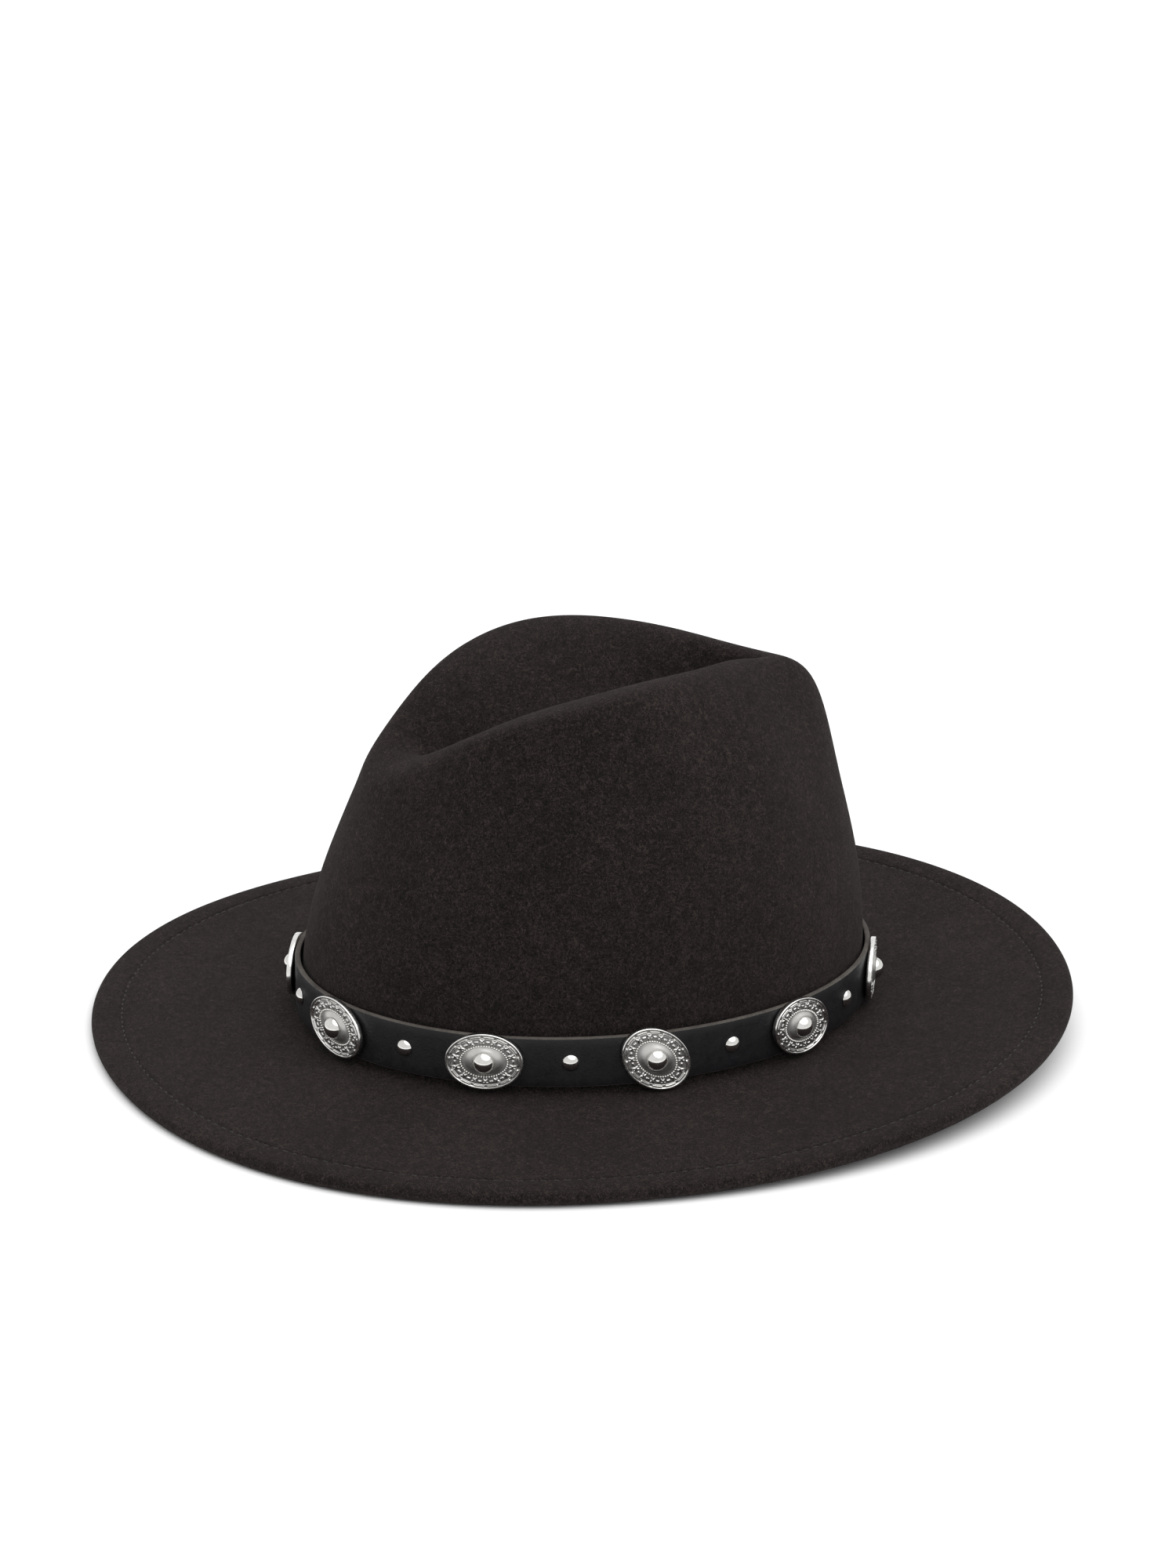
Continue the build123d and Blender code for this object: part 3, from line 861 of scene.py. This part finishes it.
def wool_felt():
    s = Shader("wool_felt")
    mottle = s.noise(22, 3)
    tufts = s.noise(300, 5, 0.7, 1.5)
    fibres = s.noise(620, 4, 0.8, 3.0)
    tone = s.math("ADD", s.math("MULTIPLY", mottle, 0.07),
                  s.math("ADD", s.math("MULTIPLY", tufts, 0.23), s.math("MULTIPLY", fibres, 0.70)))
    s.link(s.ramp(tone, (0.43, (0.0014, 0.0010, 0.0009)), (0.50, (0.0070, 0.0050, 0.0048)),
                  (0.58, (0.0350, 0.0262, 0.0250))), "Base Color")
    low = s.bump(tufts, 0.0007, 0.6)
    s.link(s.bump(fibres, 0.0005, 0.9, low), "Normal")
    s.set(Roughness=0.95, Sheen_Weight=0.10, Sheen_Roughness=0.60, Sheen_Tint=(0.36, 0.29, 0.28, 1),
          Specular_IOR_Level=0.12)
    return s.material


def sewing_thread():
    s = Shader("black_thread")
    twist = s.noise(2600, 3, 0.6, 0.5)
    s.link(s.ramp(twist, (0.35, (0.004, 0.004, 0.004)), (0.65, (0.016, 0.015, 0.015))), "Base Color")
    s.link(s.bump(twist, 0.0001, 0.8), "Normal")
    s.set(Roughness=0.72, Sheen_Weight=0.1)
    return s.material


def ribbed_cotton():
    s = Shader("ribbed_cotton")
    ribs = s.noise(240, 2, 0.4, 0.0, (6.0, 6.0, 0.15))
    weave = s.noise(2200, 4, 0.6)
    s.link(s.ramp(weave, (0.35, (0.006, 0.006, 0.007)), (0.65, (0.020, 0.020, 0.021))), "Base Color")
    low = s.bump(ribs, 0.0006, 0.8)
    s.link(s.bump(weave, 0.0002, 0.6, low), "Normal")
    s.set(Roughness=0.85, Sheen_Weight=0.2, Sheen_Roughness=0.4)
    return s.material


def strap_grain():
    s = Shader("strap_grain")
    pores = s.cells(1150)
    creases = s.noise(330, 5, 0.6, 0.6)
    wear = s.noise(60, 4, 0.6)
    s.link(s.mix(s.spread(wear, 0, 1), (0.0030, 0.0025, 0.0034), (0.0060, 0.0054, 0.0070)), "Base Color")
    s.link(s.spread(creases, 0.40, 0.58), "Roughness")
    low = s.bump(creases, 0.00012, 0.35)
    s.link(s.bump(pores, 0.00008, 0.35, low), "Normal")
    s.set(Specular_IOR_Level=0.45)
    return s.material


def strap_raw_edge():
    s = Shader("strap_raw_edge")
    fibres = s.noise(1300, 5, 0.7, 1.0)
    stain = s.noise(120, 3)
    tone = s.math("ADD", s.math("MULTIPLY", fibres, 0.6), s.math("MULTIPLY", stain, 0.4))
    s.link(s.ramp(tone, (0.36, (0.030, 0.026, 0.023)), (0.62, (0.105, 0.092, 0.080))), "Base Color")
    s.link(s.bump(fibres, 0.0003, 0.8), "Normal")
    s.set(Roughness=0.88)
    return s.material


def nickel(name, bright, dull, smoothest, roughest, dents):
    """Plated metal that is a little tarnished and finely scratched."""
    s = Shader(name)
    tarnish = s.noise(260, 5, 0.6, 0.4)
    scratches = s.noise(900, 4, 0.7, 0.3, (1.0, 1.0, 0.25))
    s.link(s.mix(s.spread(tarnish, 0, 1), bright, dull), "Base Color")
    s.link(s.spread(scratches, smoothest, roughest), "Roughness")
    s.link(s.bump(tarnish, dents, 0.5), "Normal")
    s.set(Metallic=1.0)
    return s.material


def pale_floor():
    s = Shader("pale_floor")
    s.link(s.ramp(s.noise(3, 2), (0.3, (0.86, 0.86, 0.86)), (0.7, (0.88, 0.88, 0.88))), "Base Color")
    s.set(Roughness=0.9, Specular_IOR_Level=0.0)
    return s.material


# ---------------------------------------------------------------- studio

def add_camera():
    """The camera turns about the frame's origin, aims a little above it and rolls slightly."""
    a = math.radians(CAMERA_AZIMUTH)
    e = math.radians(CAMERA_HEIGHT_ANGLE)
    back = Vector((math.sin(a) * math.cos(e), -math.cos(a) * math.cos(e), math.sin(e)))
    right = (-back).cross(Vector((0, 0, 1))).normalized()
    up = right.cross(-back)
    forward = (-back + CAMERA_PAN * right + CAMERA_TILT * up).normalized()
    right = forward.cross(Vector((0, 0, 1))).normalized()
    up = right.cross(forward)
    roll = math.radians(CAMERA_ROLL)
    rolled_right = math.cos(roll) * right + math.sin(roll) * up
    rolled_up = -math.sin(roll) * right + math.cos(roll) * up
    data = bpy.data.cameras.new("camera")
    data.lens = FOCAL_OVER_DISTANCE * CAMERA_DISTANCE * 1000 / 2000 * data.sensor_width
    camera = bpy.data.objects.new("camera", data)
    turned = Matrix((rolled_right, rolled_up, -forward)).transposed().to_4x4()
    camera.matrix_world = Matrix.Translation(back * CAMERA_DISTANCE) @ turned
    bpy.context.scene.collection.objects.link(camera)
    bpy.context.scene.camera = camera


def add_overhead_light():
    """A wide soft disc of light, LIGHT_WIDTH degrees across, that lights the whole floor evenly."""
    data = bpy.data.lights.new("overhead_light", "SUN")
    data.angle = math.radians(LIGHT_WIDTH)
    data.energy = LIGHT_STRENGTH
    light = bpy.data.objects.new("overhead_light", data)
    light.rotation_euler = Vector(LIGHT_FROM).to_track_quat("Z", "Y").to_euler()
    light.location = LIGHT_FROM
    bpy.context.scene.collection.objects.link(light)


def add_studio():
    world = bpy.data.worlds.new("studio_world")
    world.use_nodes = True
    background = world.node_tree.nodes["Background"]
    background.inputs["Color"].default_value = (1.0, 1.0, 1.0, 1)
    background.inputs["Strength"].default_value = SKY_STRENGTH
    bpy.context.scene.world = world
    add_overhead_light()
    corners = np.array([(-1, -1, 0), (1, -1, 0), (1, 1, 0), (-1, 1, 0)])
    floor = new_object("floor", corners * FLOOR_HALF_WIDTH / MM, [(0, 1, 2, 3)], [pale_floor()])
    floor.location.z = FLOOR_LEVEL
    bpy.context.scene.view_settings.view_transform = "Standard"


# ---------------------------------------------------------------- the hat


def main():
    add_camera()
    add_studio()
    thread = sewing_thread()
    bright_nickel = nickel("bright_nickel", (0.80, 0.79, 0.77), (0.66, 0.65, 0.62), 0.07, 0.17, 0.00003)
    pressed_nickel = nickel("pressed_nickel", (0.90, 0.89, 0.87), (0.78, 0.77, 0.75), 0.16, 0.26, 0.00002)
    satin_nickel = nickel("satin_nickel", (0.66, 0.65, 0.63), (0.56, 0.55, 0.53), 0.34, 0.44, 0.00002)
    aged_nickel = nickel("aged_nickel", (0.62, 0.61, 0.59), (0.42, 0.41, 0.39), 0.28, 0.42, 0.00003)
    felt_piece(wool_felt())
    stitch_ring("hem_top_stitches", STITCH_LINE, STITCH_DEPTH, -1, "thread", thread, "hem_needle_thread",
                back_tack())
    stitch_ring("hem_under_stitches", STITCH_LINE, HEM_THICKNESS - STITCH_DEPTH, 1, "thread", thread,
                "hem_bobbin_thread")
    sweatband_piece(ribbed_cotton())
    stitch_ring("sweatband_stitches", SWEATBAND_SEAM, FELT + SWEATBAND_GAP + SWEATBAND_THICKNESS, 1,
                "thread", thread, "sweatband_thread")
    strap_piece(strap_grain(), strap_raw_edge())
    metal_fittings(bright_nickel, pressed_nickel, satin_nickel, aged_nickel)
    for name in ("concho_burrs", "stud_burrs"):
        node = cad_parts[name]
        node.data.materials.clear()
        node.data.materials.append(satin_nickel)


main()
